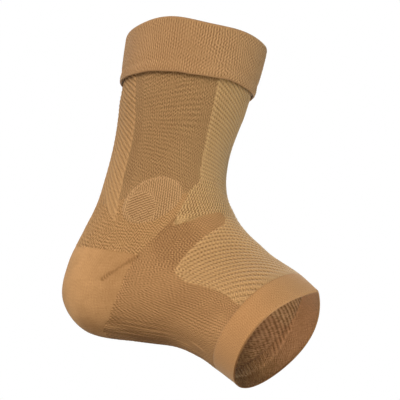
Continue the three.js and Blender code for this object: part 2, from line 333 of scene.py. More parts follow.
# side panels: broken level ribs over fine wales, with a smooth margin each side
side_wale = np.cos(TAU * (0.90 * WA + 0.10 * S))
rib = 0.5 + 0.5 * np.cos(TAU * side_phase)
strong = 0.62 + 0.38 * noise(W / 3.5, S / 4.5, 8)
strong = strong * (1 - 0.35 * smooth((S - 72) / 22))
h = 0.20 * (rib - 0.55) * strong + 0.07 * side_wale
tone = 0.5 + 0.60 * (rib - 0.5) * strong + 0.28 * side_wale * (0.7 + 0.6 * noise(W / 4, S / 6, 16))
rear_calm, front_calm = smooth((T - along(MARGIN_REAR, S)) / 4), smooth((along(MARGIN_FRONT, S) - T) / 4)
calm = np.clip(rear_calm + front_calm, 0, 1) * 0.8
h = h * (1 - calm) + 0.05 * side_wale * calm
tone = tone * (1 - calm) + (0.46 - 0.10 * rear_calm + 0.20 * side_wale) * calm
tone += 0.16 * smooth((S - 90) / 14) * smooth((T - 88) / 10)
put(zone == SIDE, h, tone + 0.04 * mottle, 0.30 + 0.08 * smooth((S - 78) / 20))

# ankle ring: bright knit, upright wales, a slanted patch towards the heel, a raised upper edge
slant = np.cos(TAU * (0.54 * S - 0.18 * WA))
patch = smooth((1.1 - disc_r) / 0.2)
up = smooth((ring_v + 3) / 6)
arc = np.exp(-(((ring_r - 0.92) / 0.06) ** 2)) * (0.3 + 0.7 * up)
rim = np.exp(-(((disc_r - 1.0) / 0.08) ** 2)) * (ring_r < 0.9)
stitch = wale * (1 - patch) * (0.75 + 0.4 * noise(W / 3, S / 4, 17)) + slant * patch
h = 0.13 * stitch + 0.16 * arc + 0.08 * rim
tone = 0.47 + 0.95 * stitch + 0.58 * arc * (0.5 + 0.5 * np.cos(TAU * 0.5 * W)) + 0.26 * rim + 0.05 * mottle
put(zone == ANKLE_RING, h, tone, 0.42)

# ankle: fine basket knit
basket = np.cos(TAU * (0.50 * S + 0.06 * WA)) * np.cos(TAU * (0.86 * WA - 0.05 * S))
slant = np.cos(TAU * (0.36 * S + 0.98 * WA))
lean = smooth((X + 6) / 20)
stitch = basket * (1 - 0.6 * lean) + slant * 0.7 * lean
zigzag = np.cos(TAU * (0.50 * S + 0.38 * WA)) * noise(W / 3, S / 4, 28) + np.cos(TAU * (0.50 * S - 0.42 * WA)) * noise(W / 3, S / 4, 33)
stitch = stitch + 0.7 * zigzag
h = 0.12 * stitch
# the last term is painted light: the back of the ankle lighter, as if lit from behind
tone = 0.5 + 0.74 * stitch * (0.75 + 0.5 * noise(W / 4, S / 5, 18)) + 0.06 * mottle + 0.14 * smooth((T - 118) / 40)
put(zone == ANKLE, h, tone, 0.44)

# strap, arch and sole: fine lengthwise wales, wrinkled along the sole
ridge = np.cos(TAU * foot_wale)
patchy = 0.75 + 0.35 * noise(W / 6, S / 9, 19) + 0.35 * noise(W / 2.2, S / 3.2, 34)
low = smooth((T - 122) / 14) * smooth((S - 158) / 22) * smooth((226 - S) / 10)
sole_painted_shade = np.interp(T, (120, 129, 136, 143, 152, 166), (0, 0.12, 0.36, 0.60, 1.0, 1.25)) * (1 - smooth((S - 192) / 20))  # painted shade: the sole's underside darker, as if in shadow
sole_painted_shade = sole_painted_shade * (0.25 + 0.75 * smooth((S - 172) / 18))
crease = np.zeros(S.shape)  # thin folds along the edge of the sole
for start, slope, seed in ((143, 0.05, 41), (147, 0.08, 42), (151, 0.05, 43), (155, 0.02, 47)):
    away = T - start - slope * (S - 190) - 3 * noise(S / 14, 0 * S + 0.5, seed)
    crease += np.exp(-((away / 0.95) ** 2)) * np.clip(0.45 + 0.9 * noise(S / 8, 0 * S + 3.5, seed), 0, 1)
strap = smooth((82 - T) / 10) * smooth((T - 42) / 12) * smooth((178 - S) / 12)
fore_arch = smooth((S - 174) / 14) * smooth((118 - T) / 14) - 0.9 * smooth((S - 195) / 8) * smooth((T - 114) / 10)
wrinkle = noise(WA / 2.4, S / 22, 9)
thread = np.clip(noise(WA / 1.05, S / 13, 10) - 0.15, 0, 1)  # loose pulled courses along the sole
h = 0.11 * ridge * patchy * (1 - 0.4 * low) + low * (0.10 * wrinkle + 0.14 * thread + 0.14 * crease)
# the -0.42 term is painted shade on the sole's underside
tone = 0.5 + 0.36 * ridge * patchy * (1 - 0.4 * low) + 0.04 * mottle + low * (0.12 * wrinkle + 0.40 * thread + 0.85 * crease - 0.10) - 0.42 * sole_painted_shade - 0.20 * strap - 0.13 * fore_arch
tone += 0.20 * smooth((S - 211) / 11) * smooth((T - 94) / 9) * smooth((122 - T) / 10)  # paler next to the toe band
# painted light: a lighter strip on the arch just above the sole's edge
tone += 0.10 * smooth((S - 192) / 8) * smooth((222 - S) / 8) * smooth((T - 126) / 6) * smooth((141 - T) / 5)
put(zone == FOOT, h, tone, 0.24 + 0.08 * strap)

# heel pocket: close plain knit, darker towards the arch
h = 0.022 * wale * np.cos(TAU * 0.5 * S)
forward = smooth((X + 18) / 28)
# painted shade: the heel's underside darker
heel_underside_painted_shade = smooth((T - 124) / 24) * smooth((X + 22) / 16)
tone = 0.5 + 0.06 * mottle + 0.07 * noise(W * 0.4, S * 0.5, 30) - 0.34 * forward * (1 - 0.7 * smooth((T - 112) / 30)) - 0.18 * heel_underside_painted_shade
# painted shade: the heel's underside darker still
tone -= 0.18 * smooth((T - 136) / 18) * smooth((X + 28) / 18)
# painted light: the heel's lower back edge lighter
tone += 0.18 * smooth((T - 141) / 8) * smooth((-13 - X) / 10) * smooth((S - 150) / 8)
put(zone == HEEL, h, tone, 0.06)


def line_distance(points, x, z):
    """Distance to a line of the middle plane, and how far along it the nearest point is."""
    best, where, start = np.full(x.shape, 1e9), np.zeros(x.shape), 0.0
    for (ax, az), (bx, bz) in zip(points[:-1], points[1:]):
        length = math.hypot(bx - ax, bz - az)
        k = np.clip(((x - ax) * (bx - ax) + (z - az) * (bz - az)) / length**2, 0, 1)
        d = np.hypot(x - ax - k * (bx - ax), z - az - k * (bz - az))
        where = np.where(d < best, start + k * length, where)
        best = np.minimum(d, best)
        start += length
    return best, where


d, run = line_distance(GUSSET, X, Z)
ends = smooth((run - 17) / 4) + smooth((9 - run) / 4)  # open stitches at both ends, a plain join between them
line = np.exp(-((d / (0.85 + 0.35 * ends)) ** 2)) * (0.40 + 0.25 * ends + 0.65 * ends * np.cos(TAU * (run / 1.9 + 0.25 * d))) * (T > 60)
relief -= 0.36 * line
shade -= 0.50 * line
# a stepped, slightly sunk join round the heel pocket
edge = np.exp(-((heel_in / 0.8) ** 2))
relief -= 0.10 * edge
shade -= 0.10 * edge * (0.5 + 0.5 * np.cos(TAU * WA * 0.5))
# dotted chains of loops along the calf's and the shin's edges
chain = np.exp(-(((T - rear_edge - 1.6) / 1.5) ** 2)) * (zone == CALF) * (0.65 + 0.35 * np.cos(TAU * S / 2.4))
relief += 0.16 * chain
shade += 0.18 * chain
chain = np.exp(-(((T - side_front + 1.8) / 1.8) ** 2)) * (zone == SHIN) * (0.6 + 0.4 * np.cos(TAU * S / 2.5))
relief += 0.16 * chain
shade += 0.19 * chain
chain = np.exp(-(((S - along(FORE_TOP, T) - 1.2) / 1.3) ** 2)) * (zone == INSTEP) * (T > 19) * (0.6 + 0.4 * np.cos(TAU * WS * 0.77))
relief += 0.14 * chain
shade += 0.18 * chain

inset = (CUFF_LAYER + GAP) * (1 - smooth((S - CUFF_EDGE - 1) / CUFF_BLEND))
groove_and_painted_shadow = np.exp(-(((S - CUFF_EDGE - 0.2 - along(CUFF_WAVE, T)) / 1.1) ** 2))  # the cuff's edge presses into the leg
inset = inset + 0.25 * groove_and_painted_shadow
# painted shadow under the cuff's lower edge, strongest at the front
shade -= (0.34 - 0.22 * smooth((T - 84) / 18)) * groove_and_painted_shadow
hidden = smooth((CUFF_EDGE - 1.5 - S) / 2)  # no relief where the cuff covers the leg
relief = relief * (1 - hidden) - 0.12 * hidden
outer = BASE + OUT * (relief - inset)[..., None]

# inside: the reverse of the knit, with bolder ribs where the outside is open
fore_share = smooth((S - 165) / 30)
back_phase = np.where(zone == CALF, calf_phase, shin_phase) * 0.66 * (1 - fore_share) + (0.18 * S + 0.43 * WS) * fore_share + 0.08 * noise(W / 3, S / 5, 46)
back_rib = 0.5 + 0.5 * np.cos(TAU * back_phase)
meshy = np.where(np.isin(zone, (SHIN, CALF, INSTEP)), 1.0, 0.35 + 0.5 * fore_share)
speck = noise(W * 0.80, S * 0.60, 20)
back_bead = np.cos(TAU * (0.40 * S - 0.22 * WS))
dotted = smooth((T - 96) / 20) * fore_share  # the sole's loops stand out one by one
back_relief = 0.42 * meshy * (back_rib - 0.5) * (1 - 0.5 * dotted) + 0.16 * speck
back_shade = 0.54 + 1.20 * meshy * (back_rib - 0.5) * (1 - 0.5 * dotted) + 0.38 * speck + 0.14 * back_bead * meshy + (0.38 + 0.32 * dotted) * fine
# the second term is painted shade: the inside of the foot darker towards the sole
back_shade -= 0.14 * (zone == INSTEP) + 0.22 * smooth((T - 100) / 36) * fore_share
calmer = 0.45 + 0.55 * fore_share  # the bold loops belong to the foot
back_relief, back_shade = back_relief * calmer, 0.54 + (back_shade - 0.54) * calmer
top_in = smooth((33 - S) / 6)  # even upright ribs inside the leg's top, under the cuff
top_rib = np.cos(TAU * 0.5 * W)
back_relief = back_relief * (1 - top_in) + 0.10 * top_rib * top_in
back_shade = back_shade * (1 - top_in) + (0.52 + 0.26 * top_rib + 0.05 * mottle) * top_in
inner = BASE - OUT * (inset + WALL + back_relief)[..., None]


def grid_normals(p, guide):
    """Unit normals of a grid that closes round its columns, on guide's side."""
    a = np.gradient(p, axis=0)
    r = np.roll(p, -1, axis=1) - np.roll(p, 1, axis=1)
    n = np.cross(r, a)
    n /= np.maximum(np.linalg.norm(n, axis=-1, keepdims=True), 1e-12)
    return n * np.sign((n * guide).sum(-1, keepdims=True))


outer_n = grid_normals(outer, OUT)
inner_n = grid_normals(inner, -OUT)

# --------------------------------------------------------------- cells to pieces

cells = zone[1::2, 1::2].copy()  # one cell is two grid rows by two grid columns
for _ in range(2):  # round off single-cell steps
    votes = []
    for k in range(8):
        m = (cells == k).astype(int)
        m = np.pad(m, ((1, 1), (0, 0)), mode="edge")
        m = m[:-2] + m[1:-1] + m[2:]
        votes.append(m + np.roll(m, 1, 1) + np.roll(m, -1, 1))
    votes = np.array(votes, float)
    votes[cells, np.arange(cells.shape[0])[:, None], np.arange(cells.shape[1])[None]] += 0.5
    cells = votes.argmax(0)
side_of = np.repeat(NEAR[1::2, 1::2][:1], cells.shape[0], 0)
PIECE_OF = {
    "shin_mesh": cells == SHIN,
    "calf_mesh": cells == CALF,
    "side_panel_right": (cells == SIDE) & side_of,
    "side_panel_left": (cells == SIDE) & ~side_of,
    "ankle_ring_right": (cells == ANKLE_RING) & side_of,
    "ankle_ring_left": (cells == ANKLE_RING) & ~side_of,
    "instep_mesh": cells == INSTEP,
    "foot_knit": cells == FOOT,
    "ankle_knit": cells == ANKLE,
    "heel_cup": cells == HEEL,
}
label = np.zeros(cells.shape, int)
for number, mask in enumerate(PIECE_OF.values()):
    label[mask] = number
for _ in range(6):  # no two cells of a piece meet at a corner only
    a, b = label[:-1], label[1:]
    ar, br = np.roll(a, -1, 1), np.roll(b, -1, 1)
    bad = ((a == br) & (b != a) & (ar != a)) | ((b == ar) & (a != b) & (br != b))
    if not bad.any():
        break
    r, c = np.nonzero(bad)
    label[r + 1, c] = np.where(label[r, c] == label[r + 1, (c + 1) % label.shape[1]], label[r, c], label[r, (c + 1) % label.shape[1]])
    label[r, (c + 1) % label.shape[1]] = np.where(label[r, c] == label[r + 1, (c + 1) % label.shape[1]], label[r, c], label[r, (c + 1) % label.shape[1]])


def new_mesh(name, points, corners, starts, loop_maps, shades, backs, normals):
    """A mesh object from arrays: points in mm, face corners, UV maps by name."""
    mesh = bpy.data.meshes.new(name)
    mesh.vertices.add(len(points))
    mesh.vertices.foreach_set("co", (points * MM).astype(np.float32).ravel())
    mesh.loops.add(len(corners))
    mesh.loops.foreach_set("vertex_index", corners.astype(np.int32))
    mesh.polygons.add(len(starts))
    mesh.polygons.foreach_set("loop_start", starts.astype(np.int32))
    mesh.update(calc_edges=True)
    for map_name, uv in loop_maps.items():
        layer = mesh.uv_layers.new(name=map_name)
        layer.data.foreach_set("uv", uv.astype(np.float32).ravel())
    tone = mesh.attributes.new("shade", "FLOAT", "POINT")
    tone.data.foreach_set("value", np.clip(shades, 0, 1).astype(np.float32))
    reverse = mesh.attributes.new("reverse", "FLOAT", "POINT")
    reverse.data.foreach_set("value", backs.astype(np.float32))
    mesh.polygons.foreach_set("use_smooth", np.ones(len(starts), bool))
    mesh.validate()
    if normals is not None:
        mesh.normals_split_custom_set_from_vertices(normals.astype(np.float32).tolist())
    obj = bpy.data.objects.new(name, mesh)
    bpy.context.scene.collection.objects.link(obj)
    return obj


def cloth_piece(name, mask, knit_u):
    """A closed piece of the tube wall: fine outer face, plainer inner face, walls between them."""
    r, c = np.nonzero(mask)
    shift = COLS if mask[:, 0].any() and not mask[:, mask.shape[1] // 2].any() else 0  # crosses the front line
    span = ROWS * COLS

    def at(j, k, inside):
        return inside * span + j * COLS + k % COLS

    faces, maps = [], []
    for dj in (0, 1):
        for dk in (0, 1):
            j, k = 2 * r + dj, 2 * c + dk
            js, ks = np.stack([j, j, j + 1, j + 1], 1), np.stack([k, k + 1, k + 1, k], 1)
            faces.append(at(js, ks, 0))
            maps.append((js, ks, np.zeros_like(js)))
    j, k = 2 * r, 2 * c
    js, ks = np.stack([j, j + 2, j + 2, j], 1), np.stack([k, k, k + 2, k + 2], 1)
    faces.append(at(js, ks, 1))
    maps.append((js, ks, np.ones_like(js)))
    quads = np.concatenate(faces)
    walls, wall_maps = [], []
    padded = np.pad(mask, ((1, 1), (0, 0)))
    steps = {
        "top": (padded[:-2], [(0, 2), (0, 1), (0, 0)], [(0, 0), (0, 2)]),
        "bottom": (padded[2:], [(2, 0), (2, 1), (2, 2)], [(2, 2), (2, 0)]),
        "right": (np.roll(mask, -1, 1), [(2, 2), (1, 2), (0, 2)], [(0, 2), (2, 2)]),
        "left": (np.roll(mask, 1, 1), [(0, 0), (1, 0), (2, 0)], [(2, 0), (0, 0)]),
    }
    for beside, outs, ins in steps.values():
        er, ec = np.nonzero(mask & ~beside)
        js = np.stack([2 * er + a for a, _ in outs + ins], 1)
        ks = np.stack([2 * ec + b for _, b in outs + ins], 1)
        inside = np.array([[0, 0, 0, 1, 1]])
        walls.append(at(js, ks, np.repeat(inside, len(er), 0)))
        wall_maps.append((js, ks, np.zeros_like(js)))
    pents = np.concatenate(walls)
    used, corners = np.unique(np.concatenate([quads.ravel(), pents.ravel()]), return_inverse=True)
    starts = np.concatenate([np.arange(len(quads)) * 4, len(quads) * 4 + np.arange(len(pents)) * 5])
    jj = np.concatenate([m[0].ravel() for m in maps + wall_maps]).astype(float)
    kk = np.concatenate([m[1].ravel() for m in maps + wall_maps]).astype(float)
    ii = np.concatenate([m[2].ravel() for m in maps + wall_maps]).astype(bool)
    if shift:
        # a cell and all its corners move together
        first = np.concatenate([np.repeat(m[1].min(1), m[1].shape[1]) for m in maps + wall_maps])
        kk = np.where(first >= COLS / 2, kk - COLS, kk)
    ju = (jj - jj.min()) / (jj.max() - jj.min())
    ku = (kk - kk.min()) / (kk.max() - kk.min())
    bake = np.stack([0.004 + 0.992 * ku, np.where(ii, 0.004 + 0.326 * ju, 0.344 + 0.652 * ju)], 1)
    if knit_u is None:
        u = kk * WALES / COLS
    else:
        u = knit_u[jj.astype(int), kk.astype(int) % COLS]
    knit = np.stack([u, S[jj.astype(int), 0] / 0.95], 1)
    inside = used >= span
    flat = used % span
    points = np.where(inside[:, None], inner.reshape(-1, 3)[flat], outer.reshape(-1, 3)[flat])
    normals = np.where(inside[:, None], inner_n.reshape(-1, 3)[flat], outer_n.reshape(-1, 3)[flat])
    tones = np.where(inside, back_shade.ravel()[flat], shade.ravel()[flat])
    backs = inside * (1 - 0.7 * smooth((T.ravel()[flat] - 110) / 30))
    return new_mesh(name, points, corners, starts, {"OFBake": bake, "Knit": knit}, tones, backs, normals)


def swept_piece(name, profile, tones, backs):
    """A closed ring carried round the sleeve: profile rows of (station, depth) arrays over the columns.

    profile is (rows, COLS, 2); tones and backs are (rows, COLS), backs 1 on the reverse of the knit.
    """
    n = len(profile)
    points = []
    for row in profile:
        s = row[:, 0]
        point = np.empty((COLS, 3))
        st = float(s.mean())
        th = angles(np.array([st]))
        shift_s = s - st
        base = surface(np.array([st]), th)[0]
        ahead = surface(np.array([min(st + 0.5, TOE_RIM)]), th)[0] - surface(np.array([max(st - 0.5, 0)]), th)[0]
        step = min(st + 0.5, TOE_RIM) - max(st - 0.5, 0)
        point = base + ahead / step * shift_s[:, None] - outward(np.array([st]), th)[0] * row[:, 1:2]
        points.append(point)
    points = np.array(points)
    j, k = np.meshgrid(np.arange(n), np.arange(COLS), indexing="ij")
    js = np.stack([j, j, j + 1, j + 1], -1).reshape(-1, 4)
    ks = np.stack([k, k + 1, k + 1, k], -1).reshape(-1, 4)
    corners = ((js % n) * COLS + ks % COLS).ravel()
    starts = np.arange(len(js)) * 4
    run = np.concatenate([[0], np.cumsum(np.linalg.norm(np.diff(points, axis=0, append=points[:1]), axis=2).mean(1))])
    bake = np.stack([0.004 + 0.992 * ks / COLS, 0.004 + 0.992 * run[js] / run[-1]], -1).reshape(-1, 2)
    knit = np.stack([ks * WALES / COLS, run[js] / 0.95], -1).reshape(-1, 2)
    return new_mesh(name, points.reshape(-1, 3), corners, starts, {"OFBake": bake, "Knit": knit}, tones.ravel(), backs.ravel(), None)


pieces = {}
for number, name in enumerate(PIECE_OF):
    pieces[name] = cloth_piece(name, label == number, foot_wale if name == "foot_knit" else None)

# ------------------------------------------------------------------------- cuff

full = CUFF_LAYER + GAP + WALL
col = np.arange(COLS)
wale_c = np.cos(TAU * col * WALES / COLS)
wob = noise(col * 40 / COLS, np.full(COLS, 0.5), 11) * 0.35 + noise(col * 16 / COLS, np.full(COLS, 1.5), 12) * 0.5
cuff_profile, cuff_tone = [], []
wale_from_front = np.minimum(col, COLS - col) * WALES / COLS
cuff_turn = np.degrees(angles(np.array([CUFF_EDGE]))[0])
edge_wave = along(CUFF_WAVE, np.minimum(cuff_turn, 360 - cuff_turn))
cuff_wale = 0.92 * wale_from_front + 0.08 * np.maximum(wale_from_front - 30, 0)


def cuff_row(s, depth, tone):
    cuff_profile.append(np.stack([np.broadcast_to(s, COLS), np.broadcast_to(depth, COLS)], 1).astype(float))
    cuff_tone.append(np.broadcast_to(tone, COLS).astype(float))


# the fold's inner lip, over the top, then down the outside to the rolled lower edge
for s, depth in ((1.9, full), (0.7, full - 0.2), (0.15, full * 0.72), (0.0, full * 0.5), (0.12, full * 0.28), (0.45, 0.42), (1.0, 0.12)):
    cuff_row(s, depth, 0.5)
cuff_s = np.arange(1.5, 28.01, 0.5)
for s in cuff_s:
    flare = 0.5 * smooth((s - 23) / 3.5) - 0.16 * math.exp(-(((s - 22.4) / 1.6) ** 2))  # a soft hem
    swell = 0.25 * math.sin(math.pi * (s - 1.5) / 26.5)
    warp = 0.22 * noise(col / 22, np.full(COLS, s / 7), 21)
    rib_c = np.cos(TAU * (cuff_wale + warp + 0.10 * s * smooth((30 - wale_from_front) / 20))) * (0.85 + 0.15 * np.cos(TAU * 0.42 * s))
    knit_c = 0.10 * rib_c
    mottled = noise(col / 18, np.full(COLS, s / 5), 13)
    grain = twill(col * WALES / COLS, s, 14)
    vivid = 0.36 + 0.22 * noise(col / 28, np.full(COLS, s / 8), 22)
    grain = grain * (0.18 + 0.14 * smooth((40 - wale_from_front) / 20))
    # the last term of the tone is painted shade: the cuff darker towards its back
    cuff_row(s + 0.25 * wob * smooth((s - 18) / 10) + edge_wave * smooth((s - 8) / 18), -(flare + swell * 0.4 + knit_c + 0.06 * mottled + 0.12 * grain), 0.5 + vivid * rib_c + 0.03 * mottled + grain - 0.14 * smooth((wale_from_front - 53) / 15))
# the rolled lower edge; its tone is painted shade, darker on the underside
for s, depth in ((28.5, -0.50), (28.9, -0.25), (29.05, 0.1), (28.95, 0.5), (28.6, 0.85), (28.0, 1.05)):
    cuff_row(s + 0.25 * wob + edge_wave, depth - 0.03 * wale_c, 0.5 - 0.24 * smooth((depth + 0.3) / 0.8))
for s in np.linspace(26.5, 2.3, 8):
    cuff_row(s, CUFF_LAYER, 0.4)
cuff_profile, cuff_tone = np.array(cuff_profile), np.array(cuff_tone)
pieces["cuff_band"] = swept_piece("cuff_band", cuff_profile, cuff_tone, np.zeros(cuff_tone.shape))

# --------------------------------------------------------------------- toe band

toe_profile, toe_tone = [], []
turned = np.minimum(col, COLS - col) * 360 / COLS  # share of the way round from the front, in degrees
toe_s = np.arange(TOE_START, TOE_RIM - 1.2, STEP)
for s in toe_s:
    knit_c = 0.03 * np.cos(TAU * (col * WALES / COLS)) * smooth((s - TOE_START) / 2)
    start = -0.07 * np.exp(-(((s - TOE_START - 0.2) / 0.7) ** 2))
    roll = 0.12 * smooth((s - 243) / 1.6)
    mottled = noise(col / 16, np.full(COLS, s / 4), 15)
    toe_profile.append(np.stack([np.full(COLS, s), -(knit_c + start + roll + 0.05 * mottled)], 1))
    grain = twill(col * WALES / COLS, s, 26)
    # the roll term in the tone is a painted highlight along the rolled rim
    toe_tone.append(0.5 + 0.08 * wale_c + 0.02 * mottled + 0.09 * grain + 0.45 * start + 0.12 * roll + 0.16 * smooth((turned - 95) / 45))
for s, depth in ((245.3, -0.12), (245.75, 0.06), (246.0, 0.36), (245.8, 0.68), (245.3, 0.86)):
    toe_profile.append(np.stack([np.full(COLS, s), np.full(COLS, depth)], 1))
    # painted shade: the rim darker towards the bottom
    toe_tone.append(0.55 - 0.50 * smooth((turned - 60) / 60))
for s in np.arange(244.5, TOE_START - 0.01, -1.0):
    rib_c = np.cos(TAU * (col * WALES / COLS) * 0.5)
    thick = TOE_WALL - 1.1 * smooth((s - 234) / 11) - 0.32 * smooth((TOE_START + 5 - s) / 5)
    # the foot's loops run on into the band, further along the sole, and end in a ragged line
    ends = np.interp(turned, (70, 83, 95, 115), (228, 230, 232, 235)) + 1.3 * noise(col / 5, np.full(COLS, 0.5), 31)
    loops = smooth((ends - s) / 1.2 + 0.5)
    back_c = np.cos(TAU * (0.18 * s + 0.43 * (np.where(col > COLS / 2, col - COLS, col) * WALES / COLS)))
    fringe = np.exp(-(((s - ends) / 0.9) ** 2)) * (0.5 + 0.5 * noise(col / 5, np.full(COLS, s / 1.5), 32))
    toe_profile.append(np.stack([np.full(COLS, s), thick + 0.05 * rib_c - 0.16 * loops * back_c], 1))
    # painted shade: the band's plain inside darker towards the bottom, here and in the knitted tone's last term
    plain_painted_shade = np.interp(turned, (25, 45, 60, 90, 105, 120, 150), (0.75, 0.71, 0.64, 0.50, 0.41, 0.26, 0.04))
    dots_c = smooth((turned - 96) / 20)
    knitted = 0.48 + 0.44 * back_c * (1 - 0.6 * dots_c) * (0.7 + 0.5 * noise(col / 9, np.full(COLS, s / 3), 35)) + (0.16 + 0.22 * dots_c) * twill(col * WALES / COLS, s, 23) - 0.20 * smooth((turned - 100) / 36)
    toe_tone.append(plain_painted_shade * (1 - loops) + knitted * loops + 0.42 * fringe + 0.10 * noise(col / 5, np.full(COLS, s / 2), 23) + 0.20 * (1 - loops) * twill(col * WALES / COLS, s, 48))
toe_profile.append(np.stack([np.full(COLS, TOE_START), np.full(COLS, WALL)], 1))
toe_tone.append(np.full(COLS, 0.4))
toe_profile, toe_tone = np.array(toe_profile), np.array(toe_tone)
toe_back = np.zeros(toe_tone.shape)
toe_back[len(toe_s) + 5 :] = 1 - smooth((turned - 100) / 40)
pieces["toe_welt"] = swept_piece("toe_welt", toe_profile, toe_tone, toe_back)

# -------------------------------------------------------------------- materials


def knit_material(name, ridge, valley, stitch, bump, sheen):
    """Matte knit: colour from the knit's pattern and height, the height part painted shade of the relief, yarn flecks
    and V-shaped stitches.
    """
    mat = bpy.data.materials.new(name)
    mat.use_nodes = True
    nodes, links = mat.node_tree.nodes, mat.node_tree.links
    nodes.clear()
    out = nodes.new("ShaderNodeOutputMaterial")
    bsdf = nodes.new("ShaderNodeBsdfPrincipled")
    links.new(bsdf.outputs["BSDF"], out.inputs["Surface"])

    def math_node(op, a, b=None, c=None):
        n = nodes.new("ShaderNodeMath")
        n.operation = op
        for socket, value in zip(n.inputs, (a, b, c)):
            if value is None:
                continue
            if isinstance(value, (int, float)):
                socket.default_value = value
            else:
                links.new(value, socket)
        return n.outputs[0]

    tone = nodes.new("ShaderNodeAttribute")
    tone.attribute_name = "shade"
    uv = nodes.new("ShaderNodeUVMap")
    uv.uv_map = "Knit"
    split = nodes.new("ShaderNodeSeparateXYZ")
    links.new(uv.outputs["UV"], split.inputs[0])
    u, v = split.outputs[0], split.outputs[1]
    half = math_node("MULTIPLY", math_node("ABSOLUTE", math_node("SUBTRACT", math_node("FRACT", u), 0.5)), 2.0)
    leg = math_node("SUBTRACT", 1.0, math_node("POWER", math_node("ABSOLUTE", math_node("SUBTRACT", math_node("MULTIPLY", half, 2.0), 1.0)), 2.0))
    slope = math_node("ADD", v, math_node("MULTIPLY", half, 0.6))
    loop = math_node("MULTIPLY_ADD", math_node("SINE", math_node("MULTIPLY", slope, TAU)), 0.5, 0.5)
    stitches = math_node("MULTIPLY", leg, math_node("MULTIPLY_ADD", loop, 0.6, 0.4))

    where = nodes.new("ShaderNodeTexCoord")
    fleck = nodes.new("ShaderNodeTexNoise")
    fleck.inputs["Scale"].default_value = 900.0
    fleck.inputs["Detail"].default_value = 3.0
    links.new(where.outputs["Object"], fleck.inputs["Vector"])
    cloud = nodes.new("ShaderNodeTexNoise")
    cloud.inputs["Scale"].default_value = 38.0
    cloud.inputs["Detail"].default_value = 2.0
    links.new(where.outputs["Object"], cloud.inputs["Vector"])

    level = math_node("MULTIPLY_ADD", math_node("SUBTRACT", stitches, 0.45), stitch, tone.outputs["Fac"])
    level = math_node("MULTIPLY_ADD", math_node("SUBTRACT", fleck.outputs["Fac"], 0.5), 0.24, level)
    level = math_node("MULTIPLY_ADD", math_node("SUBTRACT", cloud.outputs["Fac"], 0.5), 0.08, level)
    mix = nodes.new("ShaderNodeMix")
    mix.data_type = "RGBA"
    mix.clamp_factor = True
    links.new(level, mix.inputs["Factor"])
    mix.inputs["A"].default_value = (*valley, 1)
    mix.inputs["B"].default_value = (*ridge, 1)
    for socket in mix.inputs:
        if socket.type == "RGBA" and socket.name == "A":
            socket.default_value = (*valley, 1)
        if socket.type == "RGBA" and socket.name == "B":
            socket.default_value = (*ridge, 1)
    colour = next(s for s in mix.outputs if s.type == "RGBA")
    reverse = nodes.new("ShaderNodeAttribute")  # the reverse of the knit is a little less yellow
    reverse.attribute_name = "reverse"
    back = nodes.new("ShaderNodeMix")
    back.data_type = "RGBA"
    back.blend_type = "MULTIPLY"
    links.new(reverse.outputs["Fac"], back.inputs["Factor"])
    for socket in back.inputs:
        if socket.type == "RGBA" and socket.name == "A":
            links.new(colour, socket)
        if socket.type == "RGBA" and socket.name == "B":
            socket.default_value = (1.02, 1.0, 1.16, 1)
    links.new(next(s for s in back.outputs if s.type == "RGBA"), bsdf.inputs["Base Color"])

    rough = nodes.new("ShaderNodeMapRange")
    links.new(level, rough.inputs["Value"])
    rough.inputs["To Min"].default_value = 0.98
    rough.inputs["To Max"].default_value = 0.80
    links.new(rough.outputs["Result"], bsdf.inputs["Roughness"])

    relief_node = nodes.new("ShaderNodeBump")
    relief_node.inputs["Strength"].default_value = bump
    relief_node.inputs["Distance"].default_value = 0.00022
    height = math_node("MULTIPLY_ADD", fleck.outputs["Fac"], 0.35, stitches)
    links.new(height, relief_node.inputs["Height"])
    links.new(relief_node.outputs["Normal"], bsdf.inputs["Normal"])

    bsdf.inputs["Specular IOR Level"].default_value = 0.22
    fuzz = nodes.new("ShaderNodeMapRange")  # the yarn's fuzz stands on the ridges, not in the holes
    links.new(level, fuzz.inputs["Value"])
    fuzz.inputs["From Max"].default_value = 0.33
    fuzz.inputs["To Max"].default_value = sheen
    links.new(fuzz.outputs["Result"], bsdf.inputs["Sheen Weight"])
    bsdf.inputs["Sheen Roughness"].default_value = 0.40
    bsdf.inputs["Sheen Tint"].default_value = (1.0, 0.93, 0.76, 1)
    return mat


def tones(r, g, b, spread):
    """A ridge and a valley colour either side of a mean linear colour, for the knit's pattern and the painted shade of
    its relief; the valley is a little redder.
    """
    return (r * (1 + spread), g * (1 + 1.05 * spread), b * (1 + 1.12 * spread)), (r * (1 - spread), g * (1 - 1.12 * spread), b * (1 - 1.26 * spread))


MEAN = {
    "cuff_band": (0.325, 0.174, 0.071),
    "calf_mesh": (0.305, 0.163, 0.061),
    "shin_mesh": (0.330, 0.191, 0.075),
    "side_panel": (0.257, 0.140, 0.054),
    "ankle_ring": (0.318, 0.177, 0.0735),
    "instep_mesh": (0.345, 0.193, 0.075),
    "foot_knit": (0.297, 0.152, 0.0572),
    "ankle_knit": (0.322, 0.171, 0.064),
    "heel_cup": (0.436, 0.231, 0.090),
    "toe_welt": (0.348, 0.175, 0.065),
}
STITCH = {  # stitch shading, bump strength, colour spread, sheen
    "cuff_band": (0.16, 0.40, 0.50, 0.20),
    "calf_mesh": (0.14, 0.40, 0.50, 0.12),
    "shin_mesh": (0.14, 0.40, 0.50, 0.36),
    "side_panel": (0.16, 0.40, 0.50, 0.14),
    "ankle_ring": (0.16, 0.40, 0.50, 0.14),
    "instep_mesh": (0.14, 0.40, 0.50, 0.36),
    "foot_knit": (0.13, 0.40, 0.50, 0.06),
    "ankle_knit": (0.16, 0.40, 0.50, 0.10),
    "heel_cup": (0.08, 0.25, 0.45, 0.10),
    "toe_welt": (0.07, 0.25, 0.60, 0.24),
}
materials = {}
